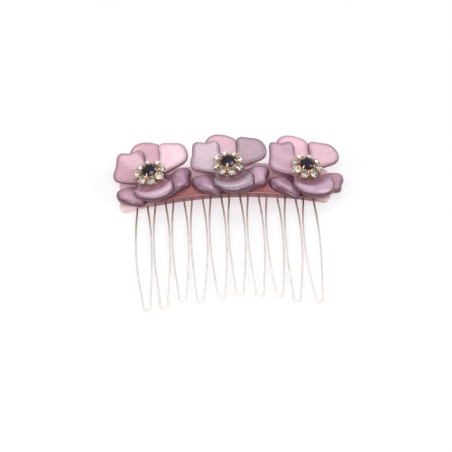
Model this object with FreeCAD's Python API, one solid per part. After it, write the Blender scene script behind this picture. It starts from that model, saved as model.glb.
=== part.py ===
import FreeCAD, Part

import math
import os
from collections import namedtuple

from FreeCAD import Placement, Rotation, Vector

# Decorative hair comb. An arched acetate bar carries ten hairpin-shaped wire teeth and three
# acetate flowers, each with a dark faceted stone inside a ring of eight clear ones.
# The comb lies head side down: +X runs along the bar, the teeth point to -Y, the flowers face +Z.
# It is drawn in the bar's frame, with the origin on the crown of the bar's front surface, and
# moved at the end so that the origin is the bottom centre of the bounding box. Millimetres.

# Bar: a strip of acetate bent to an arc about an axis along Y.
BAR_RADIUS = 128.0
BAR_ARC = 81.0
BAR_WIDTH = 16.0
BAR_THICKNESS = 2.8
BAR_CORNER = 2.5
BAR_EDGE = 0.8

# Teeth: each is one wire bent to a long loop, both ends set in holes in the bar's lower edge.
WIRE_DIAMETER = 0.7
TOOTH_COUNT = 10
TOOTH_PITCH = 7.04
TOOTH_LENGTH = 47.5
SOCKET_DEPTH = 5.0
SOCKET_CLEARANCE = 0.05
TIP_HALF_WIDTH = 1.25
ARC_SHARE = 0.45
LEAN_START = 0.4
# (distance below the bar, half the distance between the legs)
LEG_SHAPE = ((1.5, 2.0), (7.0, 2.6), (15.0, 3.0), (25.5, 3.0), (35.0, 2.35), (42.3, 1.65))
# (sideways lean of the tip, extra length) of each hand-bent tooth, from the left
TOOTH_BENDS = (
    (0.75, 0.6), (0.0, 0.9), (0.0, -0.75), (-0.65, 0.25), (0.15, -0.1),
    (-0.3, -1.1), (0.0, -0.4), (0.2, -0.8), (-0.6, 1.0), (0.9, 0.45),
)

# Flowers: two layers of three petals, one above the other, on a pin along the flower's axis.
FLOWER_Y = 2.84
FLOWER_PITCH = 28.7
FLOWER_OFFSET = 1.7
FLOWER_LEAN = 0.87
PETAL_THICKNESS = 1.5
HUB_RADIUS = 4.4
HUB_MARGIN = 0.3
HUB_STEP = 0.04
BEND_START = {"back": 6.5, "front": 5.0}
BEND_LENGTH = 2.0
BEND_BOW = 0.6
RIM_START = 6.5
RIM_CREST = 10.5
RIM_EDGE = 14.5
# A bend or a rim is whole within the first angle of a petal's middle, and gone beyond the second.
BEND_SPREAD = (55.0, 85.0)
RIM_SPREAD = {"back": (12.0, 40.0), "front": (45.0, 75.0)}
SHEET_REACH = 19.0
SHEET_GRID = 25
FOOT_RADIUS = 3.8
FOOT_DEPTH = 1.0

# Settings and stones, stacked on the petals
HALO_COUNT = 8
HALO_RADIUS = 4.75
HALO_TILT = 24.0
HALO_HEIGHT = 5.3
HALO_STONE = 2.6
CUP_RADIUS = 1.45
CUP_DEPTH = 1.1
CUP_FLOOR = 0.15
CUP_LIP = 0.1
CUP_PLAY = 0.03
CUP_MOUTH = 0.1
SEAT_RADIUS = 0.12
PRONG_RADIUS = 0.15
PRONG_RING = 1.5
PRONG_FOOT = 0.4
PRONG_LENGTH = 0.6
BEAD_RADIUS = 0.23
BEAD_RING = 1.4
BEAD_HEIGHT = 0.3
PLATE_RADIUS = 4.7
PLATE_THICKNESS = 0.4
POST_RADIUS = 0.6
POST_RING = 4.2
POST_TOP = 4.4
CENTER_STONE = 5.9
CENTER_GIRDLE = 6.15
CENTER_CLAWS = 4
CENTER_WALL = 0.3
CUP_BASE_RADIUS = 1.95
RIM_RADIUS = 3.12
RIM_HEIGHT = 5.8
PIN_DIAMETER = 1.4
PIN_HEAD_DIAMETER = 2.4
PIN_HEAD_HEIGHT = 0.4
PIN_DEPTH = 2.0
PIN_CLEARANCE = 0.05
CUT_MARGIN = 1.0

# A round stone's cut: the width of its table, and the heights of its crown, girdle and pavilion.
Cut = namedtuple("Cut", "table crown girdle pavilion")
HALO_CUT = Cut(1.4, 0.45, 0.1, 0.75)
CENTER_CUT = Cut(3.5, 1.05, 0.15, 1.6)
FACETS = 8
# The middle line of a center claw: (distance from the flower's axis, height, thickness radius).
CLAW_LINE = ((3.0, 5.2, 0.3), (3.31, 6.3, 0.27), (2.56, 7.03, 0.2))

FRONT_TOP = 2 * PETAL_THICKNESS
PLATE_TOP = FRONT_TOP + PLATE_THICKNESS
BASE_TOP = PLATE_TOP + PLATE_THICKNESS

AXIS_Y = Vector(0, 1, 0)
AXIS_Z = Vector(0, 0, 1)

# A petal: its layer, the direction of its middle in degrees, how steeply it bends up beyond the
# hub, how high its rim stands and how far it rolls down again, and its outline from one side of
# the hub to the other.
Petal = namedtuple("Petal", "layer axis slope rim roll outline")
# A flower: its name, its place along the row, the direction of its first halo stone, and how each
# petal is set: its turn in degrees and its size against the petal's outline.
Flower = namedtuple("Flower", "name place stone_turn settings")

LAYER_TOPS = {"back": PETAL_THICKNESS, "front": FRONT_TOP}

PETALS = {
    "top": Petal("back", 101, 0.25, 0, 0, (
        (-3.6, 1.5), (-8.0, 9.5), (-8.2, 13.1), (-6.6, 15.6), (-3.6, 16.6),
        (0.4, 16.0), (3.8, 13.9), (4.8, 9.0), (3.0, 2.0))),
    "lower_left": Petal("back", 221, 0, 1.1, 1.5, (
        (-2.6, 2.4), (-5.0, -1.6), (-11.6, -2.6), (-13.9, -3.6), (-13.6, -6.6), (-11.2, -9.2),
        (-6.6, -12.2), (-4.0, -12.9), (-2.6, -11.8), (-2.0, -8.0), (1.6, -3.4))),
    "lower_right": Petal("back", 341, 0, 1.1, 1.0, (
        (-1.4, -3.4), (2.0, -9.0), (5.2, -11.0), (9.4, -9.6), (13.4, -7.7), (14.4, -6.2),
        (14.4, -4.6), (15.5, -1.2), (14.4, 1.3), (10.0, 0.9), (6.0, 0.3), (2.6, 3.0))),
    "right": Petal("front", 37, 0.31, 0, 0, (
        (1.5, -3.6), (5.6, 0.6), (9.6, 1.3), (13.0, 1.9), (14.6, 3.8), (14.3, 7.6),
        (12.2, 10.8), (8.6, 12.4), (4.9, 13.6), (3.4, 12.4), (3.0, 7.2), (-2.6, 2.6))),
    "left": Petal("front", 157, 0.31, 0, 0, (
        (2.4, 3.0), (-2.4, 7.5), (-2.8, 11.0), (-4.7, 12.6), (-8.6, 11.3), (-11.6, 11.1),
        (-13.0, 9.6), (-13.4, 5.0), (-14.2, 0.6), (-13.3, -1.9), (-9.5, -2.5),
        (-5.5, -2.4), (-1.2, -3.8))),
    "bottom": Petal("front", 277, 0, 1.8, 2.0, (
        (-3.8, 1.0), (-5.6, -5.0), (-6.4, -8.2), (-5.0, -10.9), (-1.0, -13.1), (4.0, -13.1),
        (8.4, -11.0), (9.6, -8.4), (8.6, -4.2), (5.6, -1.8), (3.0, 2.6))),
}

FLOWERS = (
    Flower("left", -1, 230.5, {
        "top": (-3, 1.04), "lower_left": (0, 1.0), "lower_right": (5, 0.97),
        "right": (1, 1.02), "left": (-4, 1.0), "bottom": (-4, 0.98)}),
    Flower("middle", 0, 239.0, {
        "top": (0, 1.0), "lower_left": (0, 1.0), "lower_right": (0, 1.0),
        "right": (0, 1.0), "left": (0, 1.0), "bottom": (0, 1.0)}),
    Flower("right", 1, 212.0, {
        "top": (9, 1.04), "lower_left": (4, 1.02), "lower_right": (-1, 0.98),
        "right": (9, 0.94), "left": (5, 1.02), "bottom": (6, 1.03)}),
)


def arc_point(arc, radius):
    """Point at a place along the bar's arc, at a distance from the bend's axis."""
    angle = arc / BAR_RADIUS
    return Vector(radius * math.sin(angle), 0, radius * math.cos(angle) - BAR_RADIUS)


def make_blank():
    """The bent strip with rounded corners and edges, before it is drilled."""
    half_angle = math.degrees(BAR_ARC / BAR_RADIUS / 2)
    back = BAR_RADIUS - BAR_THICKNESS
    half = BAR_WIDTH / 2
    corners = [
        Vector(0, -half, back),
        Vector(0, half, back),
        Vector(0, half, BAR_RADIUS),
        Vector(0, -half, BAR_RADIUS),
    ]
    section = Part.Face(Part.makePolygon(corners + corners[:1]))
    section.rotate(Vector(), AXIS_Y, -half_angle)
    strip = section.revolve(Vector(), AXIS_Y, 2 * half_angle)
    strip.translate(Vector(0, 0, -BAR_RADIUS))
    short_edges = [edge for edge in strip.Edges if abs(edge.Length - BAR_THICKNESS) < 1e-6]
    strip = strip.makeFillet(BAR_CORNER, short_edges)
    bent_faces = [face for face in strip.Faces if face.Area > BAR_ARC * BAR_WIDTH * 0.9]
    rim = [edge for face in bent_faces for edge in face.Edges]
    return strip.makeFillet(BAR_EDGE, rim)


def leg_places():
    """Middle of each tooth along the arc."""
    middle = (TOOTH_COUNT - 1) / 2
    return [(index - middle) * TOOTH_PITCH for index in range(TOOTH_COUNT)]


def tooth_point(arc, across, below, drop):
    """Point of a tooth: across its loop, below the bar's lower edge, and down towards the head."""
    angle = arc / BAR_RADIUS
    root = arc_point(arc, BAR_RADIUS - BAR_THICKNESS / 2)
    along = Vector(math.cos(angle), 0, -math.sin(angle))
    return root + along * across + Vector(0, -BAR_WIDTH / 2 - below, -drop)


def drill_sockets(bar):
    """Two blind holes for each tooth, in the bar's lower edge."""
    holes = []
    for arc in leg_places():
        for side in (-1, 1):
            top = tooth_point(arc, side * LEG_SHAPE[0][1], -SOCKET_DEPTH, 0)
            radius = WIRE_DIAMETER / 2 + SOCKET_CLEARANCE
            holes.append(Part.makeCylinder(radius, SOCKET_DEPTH * 2, top, -AXIS_Y))
    return bar.cut(holes)


def flower_placement(flower):
    """Frame of a flower: its origin on the bar's front surface, Z along the flower's axis."""
    arc = flower.place * FLOWER_PITCH + FLOWER_OFFSET
    lean = math.degrees(arc / BAR_RADIUS * FLOWER_LEAN)
    return Placement(arc_point(arc, BAR_RADIUS) + Vector(0, FLOWER_Y, 0), Rotation(AXIS_Y, lean))


def placed(shape, placement):
    """Copy of a shape moved by a placement."""
    return shape.transformed(placement.toMatrix(), True)


def pin_hole():
    """Round hole for the pin, through everything that the pin goes through."""
    radius = PIN_DIAMETER / 2 + PIN_CLEARANCE
    return Part.makeCylinder(radius, PIN_DEPTH + BASE_TOP + CUT_MARGIN, Vector(0, 0, -PIN_DEPTH))


def drill_pin_holes(bar):
    """One blind hole in the bar's front surface for each flower's pin."""
    return bar.cut([placed(pin_hole(), flower_placement(flower)) for flower in FLOWERS])


def bent_path(points):
    """Straight runs joined by arcs tangent to both runs."""
    edges = []
    start = points[0]
    for before, corner, after in zip(points, points[1:], points[2:]):
        inward = corner - before
        outward = after - corner
        cut = ARC_SHARE * min(inward.Length, outward.Length)
        half_turn = inward.getAngle(outward) / 2
        entry = corner - inward * (cut / inward.Length)
        leave = corner + outward * (cut / outward.Length)
        radius = cut / math.tan(half_turn)
        towards_center = ((entry + leave) * 0.5 - corner).normalize()
        middle = corner + towards_center * (radius / math.cos(half_turn) - radius)
        edges.append(Part.LineSegment(start, entry).toShape())
        edges.append(Part.Arc(entry, middle, leave).toShape())
        start = leave
    edges.append(Part.LineSegment(start, points[-1]).toShape())
    return Part.Wire(edges)


def make_tooth(arc, lean, extra, tip_drop):
    """One hairpin: down the left leg, round the tip and up the right leg."""
    length = TOOTH_LENGTH + extra

    def at(share, half_width, side):
        shift = lean * (max(0.0, share - LEAN_START) / (1 - LEAN_START)) ** 2
        return tooth_point(arc, shift + side * half_width, share * length, tip_drop * share ** 2)

    legs = []
    for side in (-1, 1):
        socket_end = tooth_point(arc, side * LEG_SHAPE[0][1], -SOCKET_DEPTH, 0)
        bends = [at(below / TOOTH_LENGTH, half_width, side) for below, half_width in LEG_SHAPE]
        legs.append([socket_end] + bends + [at(1.0, TIP_HALF_WIDTH, side)])
    points = legs[0] + legs[1][::-1]
    path = bent_path(points)
    section = Part.Wire(Part.makeCircle(WIRE_DIAMETER / 2, points[0], -AXIS_Y))
    tooth = path.makePipeShell([section], True, False)
    expected = path.Length * math.pi * WIRE_DIAMETER ** 2 / 4
    if abs(tooth.Volume - expected) > 0.01 * expected:
        raise ValueError("tooth at %.2f: volume %.3f, expected %.3f" % (arc, tooth.Volume, expected))
    return tooth


def ramp(value):
    """Smooth step from 0 to 1, with no jump in curvature."""
    value = min(max(value, 0.0), 1.0)
    return value ** 3 * (6 * value * value - 15 * value + 10)


def share_left(off_axis, spread):
    """How much of a bend or rim is left at an angle off a petal's middle."""
    whole, gone = spread
    return ramp((gone - off_axis) / (gone - whole))


def petal_rise(petal, radius, off_axis):
    """How far a petal stands above its hub, at a distance from the hub's middle and an angle."""
    along = radius * math.cos(math.radians(off_axis))
    across = radius * math.sin(math.radians(off_axis))
    past_start = max(0.0, math.hypot(along, BEND_BOW * across) - BEND_START[petal.layer])
    bent = petal.slope * past_start ** 3 / (past_start ** 2 + BEND_LENGTH ** 2)
    climb = ramp((radius - RIM_START) / (RIM_CREST - RIM_START))
    past_crest = max(0.0, radius - RIM_CREST) / (RIM_EDGE - RIM_CREST)
    rim = petal.rim * climb - petal.roll * past_crest ** 2
    return share_left(off_axis, BEND_SPREAD) * bent + share_left(off_axis, RIM_SPREAD[petal.layer]) * rim


def layer_height(layer, flower, x, y):
    """Height of a layer's upper surface above the bar, in the flower's frame."""
    radius = math.hypot(x, y)
    angle = math.degrees(math.atan2(y, x))
    height = LAYER_TOPS[layer]
    for name, petal in PETALS.items():
        if petal.layer == layer:
            off_axis = abs((angle - petal.axis - flower.settings[name][0] + 180) % 360 - 180)
            height += petal_rise(petal, radius, off_axis)
    return height


def petal_sheet(layer, flower):
    """A square of acetate with the layer's shape, of even thickness, before it is cut out."""
    step = 2 * SHEET_REACH / (SHEET_GRID - 1)
    places = [index * step - SHEET_REACH for index in range(SHEET_GRID)]
    rows = []
    for x in places:
        rows.append([Vector(x, y, layer_height(layer, flower, x, y) - HUB_STEP) for y in places])
    surface = Part.BSplineSurface()
    surface.interpolate(rows)
    return surface.toShape().extrude(Vector(0, 0, 2 * HUB_STEP - PETAL_THICKNESS))


def turned(shape, degrees):
    """Copy of a shape turned about the flower's axis."""
    return placed(shape, Placement(Vector(), Rotation(AXIS_Z, degrees)))


def petal_prism(outline, turn, size):
    """Upright prism of a petal's outline, closed by a straight line across the hub."""
    points = [Vector(x * size, y * size, -SHEET_REACH) for x, y in outline]
    curve = Part.BSplineCurve()
    curve.interpolate(points)
    closing = Part.LineSegment(points[-1], points[0]).toShape()
    prism = Part.Face(Part.Wire([curve.toShape(), closing])).extrude(Vector(0, 0, 2 * SHEET_REACH))
    return turned(prism, turn)


def make_petals(layer, flower):
    """A layer's three petals, cut from its sheet, with a flat round hub."""
    core = Part.makeCylinder(HUB_RADIUS, 2 * SHEET_REACH, Vector(0, 0, -SHEET_REACH))
    prisms = []
    for name, petal in PETALS.items():
        if petal.layer == layer:
            turn, size = flower.settings[name]
            prisms.append(petal_prism(petal.outline, turn, size))
    petals = petal_sheet(layer, flower).common(core.fuse(prisms)).Solids[0]
    hub_bottom = Vector(0, 0, LAYER_TOPS[layer] - PETAL_THICKNESS)
    hub = Part.makeCylinder(HUB_RADIUS - HUB_MARGIN, PETAL_THICKNESS, hub_bottom)
    return petals.fuse(hub)


def seat_back_petals(petals, placement):
    """Back petals in place, with a low foot whose underside fits the bar's curved front."""
    foot = Part.makeCylinder(FOOT_RADIUS, FOOT_DEPTH + PETAL_THICKNESS / 2, Vector(0, 0, -FOOT_DEPTH))
    solid = placed(petals.fuse(foot).cut(pin_hole()), placement)
    base = Vector(0, -BAR_WIDTH * 2, -BAR_RADIUS)
    return solid.cut(Part.makeCylinder(BAR_RADIUS, BAR_WIDTH * 4, base, AXIS_Y))


def faceted_stone(diameter, cut):
    """Round stone with a flat table, its girdle centred on the origin."""
    radius = diameter / 2
    top = cut.crown + cut.girdle / 2
    bottom = -cut.pavilion - cut.girdle / 2
    profile = [
        Vector(cut.table / 2, 0, top),
        Vector(radius, 0, cut.girdle / 2),
        Vector(radius, 0, -cut.girdle / 2),
        Vector(0, 0, bottom),
        Vector(diameter, 0, bottom - CUT_MARGIN),
        Vector(diameter, 0, top + CUT_MARGIN),
        Vector(cut.table / 2, 0, top + CUT_MARGIN),
    ]
    wedge = Part.Face(Part.makePolygon(profile + profile[:1])).extrude(AXIS_Y * 2 * diameter)
    wedge.translate(-AXIS_Y * diameter)
    stone = Part.makeCylinder(radius, top - bottom, Vector(0, 0, bottom))
    return stone.cut([turned(wedge, index * 360 / FACETS) for index in range(FACETS)])


def halo_places():
    """Frame of each halo stone: on the ring, tilted outward."""
    places = []
    for index in range(HALO_COUNT):
        around = Rotation(AXIS_Z, index * 360 / HALO_COUNT)
        outward = Rotation(AXIS_Y, HALO_TILT)
        origin = around.multVec(Vector(HALO_RADIUS, 0, HALO_HEIGHT))
        places.append(Placement(origin, around * outward))
    return places


def halo_stones():
    """Eight clear stones."""
    stone = faceted_stone(HALO_STONE, HALO_CUT)
    return [placed(stone, place) for place in halo_places()]


def halo_cup():
    """Cup for one halo stone, with four bead claws; the stone's girdle is at the origin."""
    cup = Part.makeCylinder(CUP_RADIUS, CUP_DEPTH + CUP_LIP, Vector(0, 0, -CUP_DEPTH))
    opening = HALO_STONE / 2 + CUP_PLAY
    seat_bottom = Vector(0, 0, CUP_FLOOR - CUP_DEPTH)
    seat = Part.makeCone(SEAT_RADIUS, opening, CUP_DEPTH - CUP_FLOOR - CUP_MOUTH, seat_bottom)
    mouth = Part.makeCylinder(opening, CUP_DEPTH, Vector(0, 0, -CUP_MOUTH))
    prong = Part.makeCylinder(PRONG_RADIUS, PRONG_LENGTH, Vector(PRONG_RING, 0, -PRONG_FOOT))
    bead = Part.makeSphere(BEAD_RADIUS, Vector(BEAD_RING, 0, BEAD_HEIGHT))
    claws = [turned(shape, 45 + index * 90) for index in range(4) for shape in (prong, bead)]
    return cup.cut([seat, mouth]).fuse(claws)


def halo_setting():
    """Gold plate with eight posts, each carrying a tilted cup."""
    plate = Part.makeCylinder(PLATE_RADIUS, PLATE_THICKNESS, Vector(0, 0, FRONT_TOP))
    post = Part.makeCylinder(POST_RADIUS, POST_TOP - FRONT_TOP, Vector(POST_RING, 0, FRONT_TOP))
    posts = [turned(post, index * 360 / HALO_COUNT) for index in range(HALO_COUNT)]
    cups = [placed(halo_cup(), place) for place in halo_places()]
    return plate.fuse(posts + cups).cut(pin_hole())


def center_claw():
    """Claw that leans over the center stone's crown."""
    shapes = []
    for start, end in zip(CLAW_LINE, CLAW_LINE[1:]):
        bottom = Vector(start[0], 0, start[1])
        top = Vector(end[0], 0, end[1])
        shapes.append(Part.makeCone(start[2], end[2], (top - bottom).Length, bottom, top - bottom))
        shapes.append(Part.makeSphere(end[2], top))
    return shapes


def center_setting():
    """Gold cup with four claws between the halo cups; its base lies on the halo plate."""
    inner_base = CUP_BASE_RADIUS - CENTER_WALL
    inner_rim = RIM_RADIUS - CENTER_WALL
    base = Part.makeCylinder(CUP_BASE_RADIUS, PLATE_THICKNESS, Vector(0, 0, PLATE_TOP))
    outside = Part.makeCone(CUP_BASE_RADIUS, RIM_RADIUS, RIM_HEIGHT - BASE_TOP, Vector(0, 0, BASE_TOP))
    inside = Part.makeCone(inner_base, inner_rim, RIM_HEIGHT - BASE_TOP, Vector(0, 0, BASE_TOP))
    claws = []
    for index in range(CENTER_CLAWS):
        turn = 180 / HALO_COUNT + index * 360 / CENTER_CLAWS
        claws.extend(turned(shape, turn) for shape in center_claw())
    return base.fuse([outside.cut(inside)] + claws).cut(pin_hole())


def center_stone():
    """Dark stone with an eight-sided table, turned so that the claws bear on flat facets."""
    stone = turned(faceted_stone(CENTER_STONE, CENTER_CUT), 180 / FACETS)
    stone.translate(Vector(0, 0, CENTER_GIRDLE))
    return stone


def make_pin():
    """Headed pin that holds the petals and settings to the bar."""
    shank = Part.makeCylinder(PIN_DIAMETER / 2, PIN_DEPTH + BASE_TOP, Vector(0, 0, -PIN_DEPTH))
    head = Part.makeCylinder(PIN_HEAD_DIAMETER / 2, PIN_HEAD_HEIGHT, Vector(0, 0, BASE_TOP))
    return shank.fuse(head)


def resting_drop(floor):
    """How far the tips curve down so that the lowest one rests level with the bar's ends."""
    levels = []
    for arc, bend in zip(leg_places(), TOOTH_BENDS):
        for side in (-1, 1):
            levels.append(tooth_point(arc, bend[0] + side * TIP_HALF_WIDTH, 0, 0).z)
    return min(levels) - WIRE_DIAMETER / 2 - floor


def build_nodes():
    """Every node's shape, in the bar's frame."""
    blank = make_blank()
    tip_drop = resting_drop(blank.BoundBox.ZMin)
    nodes = {"comb_bar": drill_pin_holes(drill_sockets(blank))}
    for index, (arc, bend) in enumerate(zip(leg_places(), TOOTH_BENDS)):
        nodes["wire_tooth_%02d" % (index + 1)] = make_tooth(arc, bend[0], bend[1], tip_drop)
    rosette = {
        "halo_setting": halo_setting(),
        "halo_stones": Part.makeCompound(halo_stones()),
        "center_setting": center_setting(),
        "center_stone": center_stone(),
        "pin": make_pin(),
    }
    for flower in FLOWERS:
        place = flower_placement(flower)
        nodes[flower.name + "_back_petals"] = seat_back_petals(make_petals("back", flower), place)
        front_petals = make_petals("front", flower).cut(pin_hole())
        nodes[flower.name + "_front_petals"] = placed(front_petals, place)
        for name, shape in rosette.items():
            nodes[flower.name + "_" + name] = placed(turned(shape, flower.stone_turn), place)
    return nodes


def main():
    nodes = build_nodes()
    box = FreeCAD.BoundBox()
    for shape in nodes.values():
        box.add(shape.optimalBoundingBox(False, False))
    shift = Vector(-box.Center.x, -box.Center.y, -box.ZMin)
    os.makedirs("parts", exist_ok=True)
    for name, shape in nodes.items():
        shape.translate(shift)
        shape.exportStep("parts/" + name + ".step")
    print("bar frame moved by %.3f, %.3f, %.3f" % tuple(shift))
    print("size %.2f x %.2f x %.2f" % (box.XLength, box.YLength, box.ZLength))
    print("nodes %d, all valid %s" % (len(nodes), all(shape.isValid() for shape in nodes.values())))


main()
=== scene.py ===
import math
from collections import namedtuple

import bmesh
import bpy
from mathutils import Matrix, Vector, geometry


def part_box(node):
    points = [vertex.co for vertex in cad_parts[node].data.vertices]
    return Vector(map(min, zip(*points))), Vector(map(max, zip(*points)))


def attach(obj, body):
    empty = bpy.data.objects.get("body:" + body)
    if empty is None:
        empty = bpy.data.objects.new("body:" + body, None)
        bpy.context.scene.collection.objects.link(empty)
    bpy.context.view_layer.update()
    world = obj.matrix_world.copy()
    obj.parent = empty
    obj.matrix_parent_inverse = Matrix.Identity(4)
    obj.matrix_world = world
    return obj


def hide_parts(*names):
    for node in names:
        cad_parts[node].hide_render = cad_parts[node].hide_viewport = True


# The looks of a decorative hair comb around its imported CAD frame: pearl acetate bar and petals,
# pale gold wire teeth, and gold settings with clear and dark faceted stones.
# Sizes are in millimetres, in the same driving dimensions as the CAD, and MM turns them to metres.

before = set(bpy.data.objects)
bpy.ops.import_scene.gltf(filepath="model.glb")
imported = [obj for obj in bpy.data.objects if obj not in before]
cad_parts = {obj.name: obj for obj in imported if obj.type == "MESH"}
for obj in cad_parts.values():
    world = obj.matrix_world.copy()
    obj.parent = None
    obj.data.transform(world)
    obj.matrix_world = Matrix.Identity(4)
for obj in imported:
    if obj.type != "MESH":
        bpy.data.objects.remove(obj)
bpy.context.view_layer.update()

MM = 0.001
BAR_RADIUS = 128.0
FLOWER_Y = 2.84
FLOWER_PITCH = 28.7
FLOWER_OFFSET = 1.7
FLOWER_LEAN = 0.87

PETAL_THICKNESS = 1.5
HUB_RADIUS = 4.4
BEND_START = {"back": 6.5, "front": 5.0}
BEND_LENGTH = 2.0
BEND_BOW = 0.6
# A bend or a rim is whole within the first angle of a petal's middle, and gone beyond the second.
BEND_SPREAD = (55.0, 85.0)
RIM_SPREAD = {"back": (12.0, 40.0), "front": (45.0, 75.0)}
RIM_START = 6.5
RIM_CREST = 10.5
RIM_EDGE = 14.5
PIN_HOLE = 0.75

HALO_STONE = 2.6
HALO_COUNT = 8
HALO_RADIUS = 4.75
HALO_TILT = 24.0
HALO_HEIGHT = 5.3
CENTER_STONE = 5.9
CENTER_GIRDLE = 6.15
# A round stone's cut: the width of its table, and the heights of its crown, girdle and pavilion.
Cut = namedtuple("Cut", "table crown girdle pavilion")
HALO_CUT = Cut(1.4, 0.45, 0.1, 0.75)
CENTER_CUT = Cut(3.5, 1.05, 0.15, 1.6)
FACETS = 8
# How far the star facets reach from table to girdle, and the lower ones from culet to girdle.
STAR_SHARE = 0.45
LOWER_SHARE = 0.5

OUTLINE_STEP = 0.4
EDGE_STEPS = 8
CORNER_SMOOTHING = 3
CURVE_STEPS = 14
HUB_POINTS = 48
HOLE_POINTS = 16
# The grid of points inside a petal: its reach, its spacing, the height of a row against the
# spacing, and how far it stays from the rim and from the hole, also against the spacing.
FILL_REACH = 18.0
FILL_STEP = 0.62
FILL_ROW = 0.87
FILL_RIM_GAP = 0.6
FILL_HOLE_GAP = 0.4
UNION_TOLERANCE = 1e-6
FILL_TOLERANCE = 1e-7

# A petal: its layer, the direction of its middle in degrees, how steeply it bends up beyond the
# hub, how high its rim stands and how far it rolls down again, and its outline from one side of
# the hub to the other.
Petal = namedtuple("Petal", "layer axis slope rim roll outline")
# A flower: its name, its place along the row, the direction of its first halo stone, and how each
# petal is set: its turn in degrees and its size against the petal's outline.
Flower = namedtuple("Flower", "name place stone_turn settings")

LAYER_TOPS = {"back": PETAL_THICKNESS, "front": 2 * PETAL_THICKNESS}

PETALS = {
    "top": Petal("back", 101, 0.25, 0, 0, (
        (-3.6, 1.5), (-8.0, 9.5), (-8.2, 13.1), (-6.6, 15.6), (-3.6, 16.6),
        (0.4, 16.0), (3.8, 13.9), (4.8, 9.0), (3.0, 2.0))),
    "lower_left": Petal("back", 221, 0, 1.1, 1.5, (
        (-2.6, 2.4), (-5.0, -1.6), (-11.6, -2.6), (-13.9, -3.6), (-13.6, -6.6), (-11.2, -9.2),
        (-6.6, -12.2), (-4.0, -12.9), (-2.6, -11.8), (-2.0, -8.0), (1.6, -3.4))),
    "lower_right": Petal("back", 341, 0, 1.1, 1.0, (
        (-1.4, -3.4), (2.0, -9.0), (5.2, -11.0), (9.4, -9.6), (13.4, -7.7), (14.4, -6.2),
        (14.4, -4.6), (15.5, -1.2), (14.4, 1.3), (10.0, 0.9), (6.0, 0.3), (2.6, 3.0))),
    "right": Petal("front", 37, 0.31, 0, 0, (
        (1.5, -3.6), (5.6, 0.6), (9.6, 1.3), (13.0, 1.9), (14.6, 3.8), (14.3, 7.6),
        (12.2, 10.8), (8.6, 12.4), (4.9, 13.6), (3.4, 12.4), (3.0, 7.2), (-2.6, 2.6))),
    "left": Petal("front", 157, 0.31, 0, 0, (
        (2.4, 3.0), (-2.4, 7.5), (-2.8, 11.0), (-4.7, 12.6), (-8.6, 11.3), (-11.6, 11.1),
        (-13.0, 9.6), (-13.4, 5.0), (-14.2, 0.6), (-13.3, -1.9), (-9.5, -2.5),
        (-5.5, -2.4), (-1.2, -3.8))),
    "bottom": Petal("front", 277, 0, 1.8, 2.0, (
        (-3.8, 1.0), (-5.6, -5.0), (-6.4, -8.2), (-5.0, -10.9), (-1.0, -13.1), (4.0, -13.1),
        (8.4, -11.0), (9.6, -8.4), (8.6, -4.2), (5.6, -1.8), (3.0, 2.6))),
}

FLOWERS = (
    Flower("left", -1, 230.5, {
        "top": (-3, 1.04), "lower_left": (0, 1.0), "lower_right": (5, 0.97),
        "right": (1, 1.02), "left": (-4, 1.0), "bottom": (-4, 0.98)}),
    Flower("middle", 0, 239.0, {
        "top": (0, 1.0), "lower_left": (0, 1.0), "lower_right": (0, 1.0),
        "right": (0, 1.0), "left": (0, 1.0), "bottom": (0, 1.0)}),
    Flower("right", 1, 212.0, {
        "top": (9, 1.04), "lower_left": (4, 1.02), "lower_right": (-1, 0.98),
        "right": (9, 0.94), "left": (5, 1.02), "bottom": (6, 1.03)}),
)

bar_low, bar_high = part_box("comb_bar")
CROWN = Vector(((bar_low.x + bar_high.x) / 2, (bar_low.y + bar_high.y) / 2, bar_high.z))


# ---------------------------------------------------------------- petal shapes

def ramp(value):
    """Smooth step from 0 to 1, with no jump in curvature."""
    value = min(max(value, 0.0), 1.0)
    return value ** 3 * (6 * value * value - 15 * value + 10)


def share_left(off_axis, spread):
    """How much of a bend or rim is left at an angle off a petal's middle."""
    whole, gone = spread
    return ramp((gone - off_axis) / (gone - whole))


def petal_rise(petal, radius, off_axis):
    """How far a petal stands above its hub, at a distance from the hub's middle and an angle."""
    along = radius * math.cos(math.radians(off_axis))
    across = radius * math.sin(math.radians(off_axis))
    past_start = max(0.0, math.hypot(along, BEND_BOW * across) - BEND_START[petal.layer])
    bent = petal.slope * past_start ** 3 / (past_start ** 2 + BEND_LENGTH ** 2)
    climb = ramp((radius - RIM_START) / (RIM_CREST - RIM_START))
    past_crest = max(0.0, radius - RIM_CREST) / (RIM_EDGE - RIM_CREST)
    rim = petal.rim * climb - petal.roll * past_crest ** 2
    return share_left(off_axis, BEND_SPREAD) * bent + share_left(off_axis, RIM_SPREAD[petal.layer]) * rim


def layer_height(layer, flower, x, y):
    """Height of a layer's upper surface above the bar, in the flower's frame."""
    radius = math.hypot(x, y)
    angle = math.degrees(math.atan2(y, x))
    height = LAYER_TOPS[layer]
    for name, petal in PETALS.items():
        if petal.layer == layer:
            off_axis = abs((angle - petal.axis - flower.settings[name][0] + 180) % 360 - 180)
            height += petal_rise(petal, radius, off_axis)
    return height


def curve_through(points):
    """Points along a smooth open curve through the given ones."""
    made = []
    for index in range(len(points) - 1):
        start, end = Vector(points[index]), Vector(points[index + 1])
        before = Vector(points[index - 1]) if index else start
        after = Vector(points[index + 2]) if index + 2 < len(points) else end
        reach = (end - start).length
        out = (end - before).normalized() * reach / 3
        into = (after - start).normalized() * reach / 3
        made += geometry.interpolate_bezier(start, start + out, end - into, end, CURVE_STEPS + 1)[:-1]
    return [Vector(point[:2]) for point in made] + [Vector(points[-1])]


def round_points(radius, count):
    """Points round a circle about the origin."""
    angles = [math.tau * index / count for index in range(count)]
    return [Vector((radius * math.cos(angle), radius * math.sin(angle))) for angle in angles]


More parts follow.
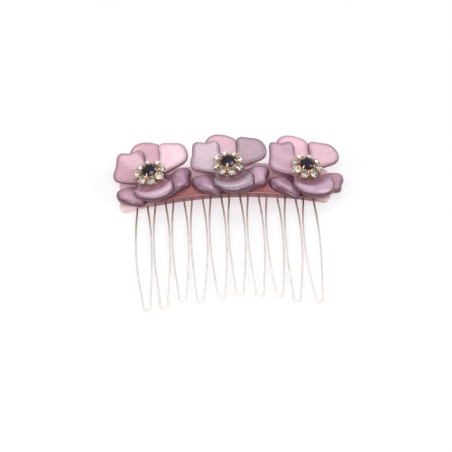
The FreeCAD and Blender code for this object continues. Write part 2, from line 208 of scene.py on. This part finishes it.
def outer_loop(outlines):
    """The outline round several overlapping outlines, as one ordered loop."""
    points, faces = [], []
    for outline in outlines:
        faces.append(list(range(len(points), len(points) + len(outline))))
        points += outline
    verts, _, triangles, _, _, _ = geometry.delaunay_2d_cdt(points, [], faces, 1, UNION_TOLERANCE)
    follows = {}
    used = {(a, b) for tri in triangles for a, b in zip(tri, tri[1:] + tri[:1])}
    for a, b in used:
        if (b, a) not in used:
            follows[a] = b
    start = min(follows)
    loop = [start]
    while follows[loop[-1]] != start:
        loop.append(follows[loop[-1]])
    return [verts[index] for index in loop]


def even_loop(loop):
    """A closed loop with evenly spaced points and softened corners."""
    closed = loop + loop[:1]
    lengths = [(b - a).length for a, b in zip(closed, closed[1:])]
    count = round(sum(lengths) / OUTLINE_STEP)
    spacing = sum(lengths) / count
    made, walked, index = [], 0.0, 0
    for number in range(count):
        target = number * spacing
        while walked + lengths[index] < target:
            walked += lengths[index]
            index += 1
        made.append(closed[index].lerp(closed[index + 1], (target - walked) / lengths[index]))
    for _ in range(CORNER_SMOOTHING):
        made = [(made[i - 1] + 2 * made[i] + made[(i + 1) % count]) / 4 for i in range(count)]
    return made


def inward(loop):
    """Unit vectors pointing into a loop that runs anticlockwise, one for each point."""
    count = len(loop)
    normals = []
    for index in range(count):
        along = (loop[(index + 1) % count] - loop[index - 1]).normalized()
        normals.append(Vector((-along.y, along.x)))
    return normals


def petal_outline(name, flower):
    """A petal's outline as it is set in a flower."""
    turn, size = flower.settings[name]
    spin = Matrix.Rotation(math.radians(turn), 2) * size
    return [spin @ point for point in curve_through(PETALS[name].outline)]


def petal_piece(layer, flower, to_row, materials):
    """A three-petalled piece as a closed mesh with round polished edges."""
    half = PETAL_THICKNESS / 2
    names = [name for name, petal in PETALS.items() if petal.layer == layer]
    outlines = [petal_outline(name, flower) for name in names]
    rim = even_loop(outer_loop(outlines + [round_points(HUB_RADIUS, HUB_POINTS)]))
    normals = inward(rim)
    hole = round_points(PIN_HOLE, HOLE_POINTS)
    inner = [point + normal * half for point, normal in zip(rim, normals)]
    verts, triangles = filling(inner, hole)

    mesh = bmesh.new()
    depth = mesh.verts.layers.float.new("rim_distance")
    reach = mesh.verts.layers.float.new("hub_distance")

    def add(point, height, distance):
        vert = mesh.verts.new(to_row(point.x, point.y, height))
        vert[depth] = distance
        vert[reach] = point.length
        return vert

    def top(point):
        return layer_height(layer, flower, point.x, point.y)

    rings = []
    for step in range(EDGE_STEPS + 1):
        slope = math.pi * (step / EDGE_STEPS - 0.5)
        inset = half * (1 - math.cos(slope))
        ring = [point + normal * inset for point, normal in zip(rim, normals)]
        rings.append([add(p, top(p) - half + half * math.sin(slope), inset) for p in ring])
    for low, high in zip(rings, rings[1:]):
        for i in range(len(rim)):
            j = (i + 1) % len(rim)
            mesh.faces.new((low[i], low[j], high[j], high[i]))
    depths = [distance_to(rim, vert) for vert in verts[len(inner):]]
    holes = []
    for ring, drop in ((rings[-1], 0.0), (rings[0], PETAL_THICKNESS)):
        sheet = ring + [add(v, top(v) - drop, d) for v, d in zip(verts[len(inner):], depths)]
        for corners in triangles:
            mesh.faces.new([sheet[index] for index in corners])
        holes.append(sheet[len(inner):len(inner) + len(hole)])
    for i in range(len(hole)):
        j = (i + 1) % len(hole)
        mesh.faces.new((holes[0][i], holes[0][j], holes[1][j], holes[1][i]))
    bmesh.ops.recalc_face_normals(mesh, faces=mesh.faces)
    for face in mesh.faces:
        face.smooth = True
        face.material_index = nearest_petal(names, flower, to_row.inverse @ face.calc_center_median())
    return finish_mesh(mesh, flower.name + "_" + layer + "_petals_polished", materials)


def nearest_petal(names, flower, place):
    """Which of a layer's petals a place in the flower's frame belongs to."""
    angle = math.degrees(math.atan2(place.y, place.x))
    offsets = []
    for name in names:
        offsets.append(abs((angle - PETALS[name].axis - flower.settings[name][0] + 180) % 360 - 180))
    return offsets.index(min(offsets))


def distance_to(rim, point):
    """Distance from a point to the nearest point of a loop."""
    return min((point - other).length for other in rim)


def filling(loop, hole):
    """Points and triangles that fill a loop, but not the hole in it."""
    points = list(loop) + list(hole)
    row_step = FILL_STEP * FILL_ROW
    for row in range(round(2 * FILL_REACH / row_step)):
        for column in range(round(2 * FILL_REACH / FILL_STEP)):
            across = -FILL_REACH + (column + 0.5 * (row % 2)) * FILL_STEP
            point = Vector((across, -FILL_REACH + row * FILL_STEP * FILL_ROW))
            outside_hole = point.length > PIN_HOLE + FILL_HOLE_GAP * FILL_STEP
            if outside_hole and inside(loop, point) and distance_to(loop, point) > FILL_RIM_GAP * FILL_STEP:
                points.append(point)
    faces = [list(range(len(loop)))]
    verts, _, triangles, _, _, _ = geometry.delaunay_2d_cdt(points, [], faces, 1, FILL_TOLERANCE)
    ring = range(len(loop), len(loop) + len(hole))
    kept = [tri for tri in triangles if not all(index in ring for index in tri)]
    return verts, kept


def inside(loop, point):
    """Whether a point is inside a loop."""
    found = False
    for a, b in zip(loop, loop[1:] + loop[:1]):
        if (a.y > point.y) != (b.y > point.y):
            if point.x < (b.x - a.x) * (point.y - a.y) / (b.y - a.y) + a.x:
                found = not found
    return found


def finish_mesh(mesh, name, materials):
    """Turns a bmesh into an object with materials that rides on the comb."""
    data = bpy.data.meshes.new(name)
    mesh.to_mesh(data)
    mesh.free()
    for material in materials:
        data.materials.append(material)
    piece = bpy.data.objects.new(name, data)
    bpy.context.scene.collection.objects.link(piece)
    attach(piece, "root")
    return piece


def add_stone(mesh, diameter, cut, place):
    """Adds a brilliant-cut stone with its girdle centred on a place; its pavilion is foiled."""
    radius = diameter / 2
    flare = math.pi / FACETS
    top = cut.crown + cut.girdle / 2
    bottom = -cut.pavilion - cut.girdle / 2

    def ring(reach, height, start, count):
        angles = [start + index * math.tau / count for index in range(count)]
        corners = [Vector((reach * math.cos(a), reach * math.sin(a), height)) for a in angles]
        return [mesh.verts.new(place @ corner) for corner in corners]

    star_reach = (cut.table / 2 + STAR_SHARE * (radius - cut.table / 2)) / math.cos(flare)
    star_height = top + STAR_SHARE * (cut.girdle / 2 - top)
    main_height = bottom + LOWER_SHARE * (-cut.girdle / 2 - bottom)
    table = ring(cut.table / 2, top, 0, FACETS)
    star = ring(star_reach, star_height, flare, FACETS)
    upper = ring(radius, cut.girdle / 2, 0, 2 * FACETS)
    lower = ring(radius, -cut.girdle / 2, 0, 2 * FACETS)
    main = ring(LOWER_SHARE * radius / math.cos(flare), main_height, flare, FACETS)
    culet = mesh.verts.new(place @ Vector((0, 0, bottom)))
    crown, pavilion = [table], []
    for i in range(FACETS):
        j = (i + 1) % FACETS
        first, middle, last = 2 * i, 2 * i + 1, 2 * j
        crown.append((table[i], star[i], table[j]))
        crown.append((table[i], star[i - 1], upper[first], star[i]))
        pavilion.append((culet, main[i - 1], lower[first], main[i]))
        for a, b in ((first, middle), (middle, last)):
            crown.append((star[i], upper[a], upper[b]))
            crown.append((upper[a], lower[a], lower[b], upper[b]))
            pavilion.append((main[i], lower[a], lower[b]))
    for index, faces in enumerate((crown, pavilion)):
        for corners in faces:
            mesh.faces.new(corners).material_index = index


class FlowerFrame:
    """Turns a flower's own millimetres into the row frame's metres."""

    def __init__(self, place):
        arc = place * FLOWER_PITCH + FLOWER_OFFSET
        angle = arc / BAR_RADIUS
        origin = Vector((BAR_RADIUS * math.sin(angle), FLOWER_Y, BAR_RADIUS * (math.cos(angle) - 1)))
        lean = Matrix.Rotation(angle * FLOWER_LEAN, 4, "Y")
        self.matrix = Matrix.Translation(CROWN) @ Matrix.Scale(MM, 4) @ Matrix.Translation(origin) @ lean
        self.inverse = self.matrix.inverted()

    def __call__(self, x, y, height):
        return self.matrix @ Vector((x, y, height))


# ---------------------------------------------------------------- materials

def tone(red, green, blue):
    """Linear color from 8-bit display values, by the sRGB curve."""
    linear = []
    for value in (red, green, blue):
        share = value / 255
        linear.append(share / 12.92 if share <= 0.04045 else ((share + 0.055) / 1.055) ** 2.4)
    return tuple(linear)


# Where a mix node keeps its color sockets; its number and vector sockets have the same names.
MIX_FIRST = 6
MIX_SECOND = 7
MIX_RESULT = 2

ACETATE_IOR = 1.49
GLASS_IOR = 1.58

# Distances over which a petal's painted shade fades: from the flower's middle, and from the petal's rim.
HUB_SHADE_FADE = (6.5, 12.0)
MARGIN_SHADE_FADE = (0.5, 2.0)
# How light the painted shade along a petal's margin is against its deep marbling.
MARGIN_SHADE_DEPTH = 0.66
# Widths of the painted dark edge, painted shade along each petal's rounded rim, and the share of it that is
# solid before it fades.
UPPER_EDGE_SHADE_WIDTH = 0.65
LOWER_EDGE_SHADE_WIDTH = 1.0
EDGE_SHADE_SOLID = 0.3
SUBSURFACE_REACH = 1.2 * MM

# Distances from the bar's middle over which the painted shadow and shade on the bar and the painted
# reflections on the wires fade.
BAR_SHADOW_UPPER_FADE = (-2.0, 4.0)
BAR_LIP_SHADE_FADE = (-7.8, -6.2)
BAR_SHADOW_LEFT_FADE = (-35.0, -23.0)
BAR_SHADOW_RIGHT_FADE = (31.0, 41.0)
WIRE_REFLECTION_FADE = (-28.0, -9.0)

# Colors in pairs are the darker and the lighter one of a material's unevenness.
# The bar's dark tones are painted shadow of the flowers, and its lip tone is painted shade.
BAR_SHADOW_ROSEWOOD = (tone(150, 86, 88), tone(180, 114, 112))
BAR_PALE = (tone(226, 188, 190), tone(246, 216, 218))
BAR_LIP_SHADE = tone(140, 80, 84)
# Wire tones are painted reflections: of the dark bar near the root, and of the white floor at the tips.
WIRE_ROOT_REFLECTION = (tone(158, 128, 106), tone(188, 160, 134))
WIRE_TIP_REFLECTION = (tone(244, 236, 228), tone(253, 248, 243))
GOLD = (0.95, 0.84, 0.66)
GOLD_WORN = (0.80, 0.64, 0.44)
CLEAR_TINT = (0.97, 0.97, 0.98)
DARK_TINT = (0.026, 0.015, 0.028)
SILVER_FOIL = (0.97, 0.94, 0.90)
DARK_FOIL = (0.90, 0.78, 0.88)
# The floor's base is greenish, so that with its lavender glow, a painted fill light, the lit floor sums to
# white and only its shadows stay lavender.
FLOOR_PAPER = ((0.38, 0.43, 0.37), (0.39, 0.44, 0.38))
FLOOR_SHADOW_FILL = (0.98, 0.91, 1.0, 1.0)
FLOOR_SHADOW_FILL_STRENGTH = 0.61
# The dark edge tones are painted shade along the petals' rounded rims.
EDGE_SHADE_MAUVE = tone(98, 54, 70)
EDGE_SHADE_ROSE = tone(134, 88, 104)

# Each petal's light and deep marbling, partly the acetate's own colour and partly painted light and shade,
# as each petal is set lighter or darker by how light falls on it; and the painted shade near the flower's
# middle, for the petals that have it.
PETAL_COLORS = {
    ("left", "left"): (tone(212, 170, 182), tone(200, 155, 168), None),
    ("left", "top"): (tone(230, 187, 198), tone(216, 170, 181), None),
    ("left", "right"): (tone(253, 222, 230), tone(243, 206, 217), None),
    ("left", "bottom"): (tone(220, 186, 204), tone(198, 162, 181), tone(150, 104, 124)),
    ("left", "lower_left"): (tone(208, 168, 186), tone(158, 106, 124), tone(122, 70, 86)),
    ("left", "lower_right"): (tone(208, 176, 192), tone(158, 110, 130), tone(118, 68, 88)),
    ("middle", "left"): (tone(222, 199, 210), tone(202, 177, 190), None),
    ("middle", "top"): (tone(206, 160, 174), tone(196, 148, 162), None),
    ("middle", "right"): (tone(194, 168, 177), tone(182, 156, 167), None),
    ("middle", "bottom"): (tone(188, 166, 180), tone(168, 146, 160), tone(126, 96, 108)),
    ("middle", "lower_left"): (tone(186, 150, 170), tone(148, 110, 130), tone(116, 76, 96)),
    ("middle", "lower_right"): (tone(208, 174, 193), tone(160, 116, 136), tone(122, 76, 98)),
    ("right", "left"): (tone(228, 195, 209), tone(204, 165, 184), None),
    ("right", "top"): (tone(250, 210, 222), tone(240, 197, 210), None),
    ("right", "right"): (tone(206, 160, 175), tone(196, 149, 164), None),
    ("right", "bottom"): (tone(212, 180, 198), tone(190, 156, 174), tone(136, 94, 112)),
    ("right", "lower_left"): (tone(184, 148, 166), tone(124, 76, 96), tone(98, 54, 72)),
    ("right", "lower_right"): (tone(202, 166, 180), tone(178, 128, 144), tone(160, 104, 122)),
}


def new_material(name):
    """An empty node material with a Principled shader."""
    material = bpy.data.materials.new(name)
    material.use_nodes = True
    nodes = material.node_tree.nodes
    nodes.clear()
    output = nodes.new("ShaderNodeOutputMaterial")
    shader = nodes.new("ShaderNodeBsdfPrincipled")
    material.node_tree.links.new(shader.outputs["BSDF"], output.inputs["Surface"])
    return material, material.node_tree, shader


def color_ramp(tree, source, stops):
    """A color ramp between (position, color) stops."""
    ramp_node = tree.nodes.new("ShaderNodeValToRGB")
    elements = ramp_node.color_ramp.elements
    while len(elements) < len(stops):
        elements.new(0.5)
    for element, (position, color) in zip(elements, stops):
        element.position = position
        element.color = (*color, 1.0)
    tree.links.new(source, ramp_node.inputs["Fac"])
    return ramp_node.outputs["Color"]


def object_noise(tree, scale, detail, distortion, stretch=(1, 1, 1)):
    """Noise in the object's own space."""
    place = tree.nodes.new("ShaderNodeTexCoord")
    mapping = tree.nodes.new("ShaderNodeMapping")
    mapping.inputs["Scale"].default_value = stretch
    pattern = tree.nodes.new("ShaderNodeTexNoise")
    pattern.inputs["Scale"].default_value = scale
    pattern.inputs["Detail"].default_value = detail
    pattern.inputs["Distortion"].default_value = distortion
    tree.links.new(place.outputs["Object"], mapping.inputs["Vector"])
    tree.links.new(mapping.outputs["Vector"], pattern.inputs["Vector"])
    return pattern.outputs["Fac"]


def mix_colors(tree, factor, first, second):
    """Blend of two colors; each may be a socket or a color."""
    mix = tree.nodes.new("ShaderNodeMix")
    mix.data_type = "RGBA"
    tree.links.new(factor, mix.inputs["Factor"])
    for socket, value in ((mix.inputs[MIX_FIRST], first), (mix.inputs[MIX_SECOND], second)):
        if isinstance(value, tuple):
            socket.default_value = (*value, 1.0)
        else:
            tree.links.new(value, socket)
    return mix.outputs[MIX_RESULT]


def roughness_from(tree, shader, source, low, high):
    """Roughness that varies with a pattern."""
    spread = tree.nodes.new("ShaderNodeMapRange")
    spread.inputs["To Min"].default_value = low
    spread.inputs["To Max"].default_value = high
    tree.links.new(source, spread.inputs["Value"])
    tree.links.new(spread.outputs["Result"], shader.inputs["Roughness"])


def bump_from(tree, shader, source, strength, distance):
    """Fine relief from a pattern."""
    bump = tree.nodes.new("ShaderNodeBump")
    bump.inputs["Strength"].default_value = strength
    bump.inputs["Distance"].default_value = distance
    tree.links.new(source, bump.inputs["Height"])
    tree.links.new(bump.outputs["Normal"], shader.inputs["Normal"])


def fade(tree, source, start, end):
    """1 where a value is at or below start, falling smoothly to 0 at end."""
    spread = tree.nodes.new("ShaderNodeMapRange")
    spread.interpolation_type = "SMOOTHSTEP"
    spread.inputs["From Min"].default_value = start
    spread.inputs["From Max"].default_value = end
    spread.inputs["To Min"].default_value = 1.0
    spread.inputs["To Max"].default_value = 0.0
    tree.links.new(source, spread.inputs["Value"])
    return spread.outputs["Result"]


def attribute(tree, name):
    """A mesh attribute's value."""
    node = tree.nodes.new("ShaderNodeAttribute")
    node.attribute_name = name
    return node.outputs["Fac"]


def acetate(name, edge, edge_shade_width, light, deep, hub_shade):
    """Polished pearl acetate: marbled in the sheet, with painted shade that deepens its tone near the
    flower's middle and along the margin, and a painted dark edge that stands for shade along its rounded
    rim."""
    material, tree, shader = new_material(name)
    swirl = object_noise(tree, 60.0, 2.0, 1.3)
    color = color_ramp(tree, swirl, ((0.30, deep), (0.66, light)))
    # Near the flower's middle the tone is painted shade, where the setting and the front petals shade the
    # petal.
    if hub_shade:
        near_shaded_hub = fade(tree, attribute(tree, "hub_distance"), *HUB_SHADE_FADE)
        color = mix_colors(tree, near_shaded_hub, color, hub_shade)
    # The margin is painted darker, as shade along it.
    margin = tuple(MARGIN_SHADE_DEPTH * part for part in deep)
    near_shaded_margin = fade(tree, attribute(tree, "rim_distance"), *MARGIN_SHADE_FADE)
    color = mix_colors(tree, near_shaded_margin, color, margin)
    # A dark edge painted as shade along the rounded rim.
    near_shaded_edge = fade(tree, attribute(tree, "rim_distance"), EDGE_SHADE_SOLID * edge_shade_width, edge_shade_width)
    color = mix_colors(tree, near_shaded_edge, color, edge)
    tree.links.new(color, shader.inputs["Base Color"])
    fine = object_noise(tree, 900.0, 2.0, 0.0)
    roughness_from(tree, shader, fine, 0.22, 0.32)
    shader.inputs["IOR"].default_value = ACETATE_IOR
    shader.inputs["Coat Weight"].default_value = 0.8
    shader.inputs["Coat Roughness"].default_value = 0.06
    shader.inputs["Subsurface Weight"].default_value = 0.1
    shader.inputs["Subsurface Radius"].default_value = (1.0, 0.55, 0.6)
    shader.inputs["Subsurface Scale"].default_value = SUBSURFACE_REACH
    return material


def object_axis(tree, axis):
    """One coordinate in the object's own space."""
    place = tree.nodes.new("ShaderNodeTexCoord")
    split = tree.nodes.new("ShaderNodeSeparateXYZ")
    tree.links.new(place.outputs["Object"], split.inputs["Vector"])
    return split.outputs[axis]


def bar_fade(tree, axis, band):
    """Fade along one axis, over a band of distances from the bar's middle."""
    middle = {"X": CROWN.x, "Y": CROWN.y}[axis]
    return fade(tree, object_axis(tree, axis), middle + band[0] * MM, middle + band[1] * MM)


def bar_acetate():
    """The bar's pale pink pearl, with the flowers' shadow painted in: darker below its upper strip and away
    from its two ends.
    """
    material, tree, shader = new_material("bar_acetate")
    swirl = object_noise(tree, 60.0, 3.0, 1.2, (0.35, 1.0, 1.0))
    shadow_tone = color_ramp(tree, swirl, ((0.32, BAR_SHADOW_ROSEWOOD[0]), (0.66, BAR_SHADOW_ROSEWOOD[1])))
    pale = color_ramp(tree, swirl, ((0.32, BAR_PALE[0]), (0.66, BAR_PALE[1])))
    # Below the upper strip the bar is painted in the flowers' shadow.
    color = mix_colors(tree, bar_fade(tree, "Y", BAR_SHADOW_UPPER_FADE), pale, shadow_tone)
    # Along the lower lip the bar is darker still, painted shade on its front face.
    color = mix_colors(tree, bar_fade(tree, "Y", BAR_LIP_SHADE_FADE), color, BAR_LIP_SHADE)
    color = mix_colors(tree, bar_fade(tree, "X", BAR_SHADOW_LEFT_FADE), color, pale)
    color = mix_colors(tree, bar_fade(tree, "X", BAR_SHADOW_RIGHT_FADE), pale, color)
    tree.links.new(color, shader.inputs["Base Color"])
    fine = object_noise(tree, 900.0, 2.0, 0.0)
    roughness_from(tree, shader, fine, 0.20, 0.32)
    shader.inputs["IOR"].default_value = ACETATE_IOR
    shader.inputs["Coat Weight"].default_value = 0.7
    shader.inputs["Coat Roughness"].default_value = 0.08
    return material


def setting_gold():
    """Pale gold plate with slight unevenness in tone and polish."""
    material, tree, shader = new_material("setting_gold")
    patches = object_noise(tree, 400.0, 4.0, 0.5)
    color = color_ramp(tree, patches, ((0.35, GOLD_WORN), (0.65, GOLD)))
    tree.links.new(color, shader.inputs["Base Color"])
    roughness_from(tree, shader, patches, 0.144, 0.252)
    shader.inputs["Metallic"].default_value = 1.0
    bump_from(tree, shader, object_noise(tree, 2500.0, 2.0, 0.0), 0.15, 0.04 * MM)
    return material


def wire_gold():
    """Champagne gold wire with painted reflections: browner near the bar, where it mirrors the dark bar,
    and near white towards the tips, where it mirrors the white floor.
    """
    material, tree, shader = new_material("wire_gold")
    patches = object_noise(tree, 500.0, 3.0, 0.5)
    root = color_ramp(tree, patches, ((0.35, WIRE_ROOT_REFLECTION[0]), (0.65, WIRE_ROOT_REFLECTION[1])))
    tip = color_ramp(tree, patches, ((0.35, WIRE_TIP_REFLECTION[0]), (0.65, WIRE_TIP_REFLECTION[1])))
    # The tone from root to tip is painted reflection: the dark bar near the root, the white floor towards
    # the tips.
    color = mix_colors(tree, bar_fade(tree, "Y", WIRE_REFLECTION_FADE), root, tip)
    tree.links.new(color, shader.inputs["Base Color"])
    roughness_from(tree, shader, patches, 0.24, 0.40)
    shader.inputs["Metallic"].default_value = 0.7
    return material


def cut_glass(name, tint):
    """Polished cut glass, very slightly uneven in tint."""
    material, tree, shader = new_material(name)
    patches = object_noise(tree, 300.0, 1.0, 0.0)
    paler = tuple(min(1.0, 1.1 * part) for part in tint)
    tree.links.new(color_ramp(tree, patches, ((0.4, tint), (0.6, paler))), shader.inputs["Base Color"])
    shader.inputs["Roughness"].default_value = 0.02
    shader.inputs["IOR"].default_value = GLASS_IOR
    shader.inputs["Transmission Weight"].default_value = 1.0
    return material


def foil(name, color):
    """Mirror foil on a stone's pavilion."""
    material, tree, shader = new_material(name)
    patches = object_noise(tree, 700.0, 2.0, 0.0)
    duller = tuple(0.85 * part for part in color)
    tree.links.new(color_ramp(tree, patches, ((0.3, duller), (0.7, color))), shader.inputs["Base Color"])
    shader.inputs["Metallic"].default_value = 1.0
    shader.inputs["Roughness"].default_value = 0.2
    return material


def petal_materials(flower, layer):
    """One acetate material for each petal of a layer."""
    made = []
    for name, petal in PETALS.items():
        if petal.layer == layer:
            # The painted edge shade is wider and deeper on the back petals.
            edge = (EDGE_SHADE_ROSE, UPPER_EDGE_SHADE_WIDTH) if petal.slope else (EDGE_SHADE_MAUVE, LOWER_EDGE_SHADE_WIDTH)
            colors = PETAL_COLORS[(flower.name, name)]
            made.append(acetate(flower.name + "_" + name + "_acetate", *edge, *colors))
    return made


def paint(node, material):
    """Gives a carried-over CAD node its material."""
    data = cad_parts[node].data
    data.materials.clear()
    data.materials.append(material)


# ---------------------------------------------------------------- the object

def make_flowers():
    """The petals of the three flowers."""
    for flower in FLOWERS:
        to_row = FlowerFrame(flower.place)
        for layer in LAYER_TOPS:
            piece = petal_piece(layer, flower, to_row, petal_materials(flower, layer))
            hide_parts(flower.name + "_" + layer + "_petals")


def make_stones():
    """The center and halo stones of the three flowers."""
    halo_materials = [cut_glass("clear_stone", CLEAR_TINT), foil("silver_foil", SILVER_FOIL)]
    center_materials = [cut_glass("dark_stone", DARK_TINT), foil("dark_foil", DARK_FOIL)]
    # The center stone is turned so that the claws bear on flat facets.
    half_facet = Matrix.Rotation(math.pi / FACETS, 4, "Z")
    center_place = Matrix.Translation((0, 0, CENTER_GIRDLE)) @ half_facet
    outward = Matrix.Rotation(math.radians(HALO_TILT), 4, "Y")
    halo_place = Matrix.Translation((HALO_RADIUS, 0, HALO_HEIGHT)) @ outward
    for flower in FLOWERS:
        turn = Matrix.Rotation(math.radians(flower.stone_turn), 4, "Z")
        base = FlowerFrame(flower.place).matrix @ turn
        center = bmesh.new()
        add_stone(center, CENTER_STONE, CENTER_CUT, base @ center_place)
        halo = bmesh.new()
        for index in range(HALO_COUNT):
            around = Matrix.Rotation(index * math.tau / HALO_COUNT, 4, "Z")
            add_stone(halo, HALO_STONE, HALO_CUT, base @ around @ halo_place)
        for mesh, node, slot, materials in (
                (center, "_center_stone", "dark_stone", center_materials),
                (halo, "_halo_stones", "clear_stone", halo_materials)):
            bmesh.ops.recalc_face_normals(mesh, faces=mesh.faces)
            piece = finish_mesh(mesh, flower.name + node + "_cut", materials)
            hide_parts(flower.name + node)


def paint_frame():
    """Materials of the CAD nodes that stay."""
    paint("comb_bar", bar_acetate())
    wire = wire_gold()
    gold = setting_gold()
    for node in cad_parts:
        if node.startswith("wire_tooth"):
            paint(node, wire)
        elif node.endswith("_setting") or node.endswith("_pin"):
            paint(node, gold)


# ---------------------------------------------------------------- camera, light and floor

CAMERA_DISTANCE = 0.825
CAMERA_ELEVATION = 46.6
CAMERA_AZIMUTH = -1.0
CAMERA_ROLL = 2.15
CAMERA_LENS = 175.4
SENSOR = 36.0
AIM_RIGHT = 0.7 * MM
AIM_DOWN = 18.0 * MM

FLOOR_HALF = 3.0
FLOOR_SQUARES = 8
SKY_COLOR = (0.96, 0.90, 1.0, 1.0)
SKY_STRENGTH = 0.46

# A rectangular area light aimed at the comb: place and size in metres, power in watts.
Softbox = namedtuple("Softbox", "name place size power color")
SOFTBOXES = (
    Softbox("key", (0.0, 0.30, 0.85), (0.5, 0.25), 1.3, (1.0, 1.0, 1.0)),
    Softbox("front", (0.0, -0.55, 0.95), (0.8, 0.5), 5.1, (0.98, 1.0, 0.97)),
    Softbox("left_side", (-0.75, -0.11, 0.54), (0.3, 0.4), 1.6, (1.0, 0.99, 1.0)),
    Softbox("right_side", (0.75, -0.11, 0.54), (0.3, 0.4), 1.6, (1.0, 0.99, 1.0)),
)


def make_camera():
    """Camera at the studio's angle, aimed a little below the bar's crown."""
    elevation = math.radians(CAMERA_ELEVATION)
    azimuth = math.radians(CAMERA_AZIMUTH)
    back = Vector((
        math.sin(azimuth) * math.cos(elevation),
        -math.cos(azimuth) * math.cos(elevation),
        math.sin(elevation),
    ))
    level = (-back).to_track_quat("-Z", "Y").to_matrix()
    rolled = level @ Matrix.Rotation(math.radians(-CAMERA_ROLL), 3, "Z")
    aim = CROWN + rolled @ Vector((AIM_RIGHT, -AIM_DOWN, 0))
    eye = CROWN + back * CAMERA_DISTANCE
    turn = (rolled @ Vector((0, 0, -1))).rotation_difference(aim - eye)
    data = bpy.data.cameras.new("camera")
    data.lens = CAMERA_LENS
    data.sensor_width = SENSOR
    camera = bpy.data.objects.new("camera", data)
    camera.matrix_world = Matrix.Translation(eye) @ (turn.to_matrix() @ rolled).to_4x4()
    bpy.context.scene.collection.objects.link(camera)
    bpy.context.scene.camera = camera


def make_floor():
    """Large pale floor that glows a little, a painted fill light that lightens its shadows and tints them
    lavender.
    """
    mesh = bmesh.new()
    bmesh.ops.create_grid(mesh, x_segments=FLOOR_SQUARES, y_segments=FLOOR_SQUARES, size=FLOOR_HALF)
    data = bpy.data.meshes.new("floor")
    mesh.to_mesh(data)
    mesh.free()
    material, tree, shader = new_material("floor")
    paper = object_noise(tree, 40.0, 3.0, 0.0)
    color = color_ramp(tree, paper, ((0.3, FLOOR_PAPER[0]), (0.7, FLOOR_PAPER[1])))
    tree.links.new(color, shader.inputs["Base Color"])
    shader.inputs["Roughness"].default_value = 0.9
    shader.inputs["Specular IOR Level"].default_value = 0.1
    # The glow is painted fill light: it lightens the floor's shadows and tints them lavender.
    shader.inputs["Emission Color"].default_value = FLOOR_SHADOW_FILL
    shader.inputs["Emission Strength"].default_value = FLOOR_SHADOW_FILL_STRENGTH
    data.materials.append(material)
    floor = bpy.data.objects.new("floor", data)
    bpy.context.scene.collection.objects.link(floor)


def add_softbox(box):
    """Adds one softbox."""
    data = bpy.data.lights.new(box.name, "AREA")
    data.shape = "RECTANGLE"
    data.size, data.size_y = box.size
    data.energy = box.power
    data.color = box.color
    light = bpy.data.objects.new(box.name, data)
    light.location = Vector(box.place)
    light.rotation_euler = (CROWN - light.location).to_track_quat("-Z", "Y").to_euler()
    bpy.context.scene.collection.objects.link(light)


def make_light():
    """A white tent, a large softbox in front and above, and smaller ones behind and at the sides."""
    world = bpy.data.worlds.new("studio")
    world.use_nodes = True
    nodes = world.node_tree.nodes
    nodes["Background"].inputs["Color"].default_value = SKY_COLOR
    nodes["Background"].inputs["Strength"].default_value = SKY_STRENGTH
    bpy.context.scene.world = world
    for box in SOFTBOXES:
        add_softbox(box)
    bpy.context.scene.view_settings.view_transform = "Standard"


make_camera()
make_floor()
make_light()
make_flowers()
make_stones()
paint_frame()
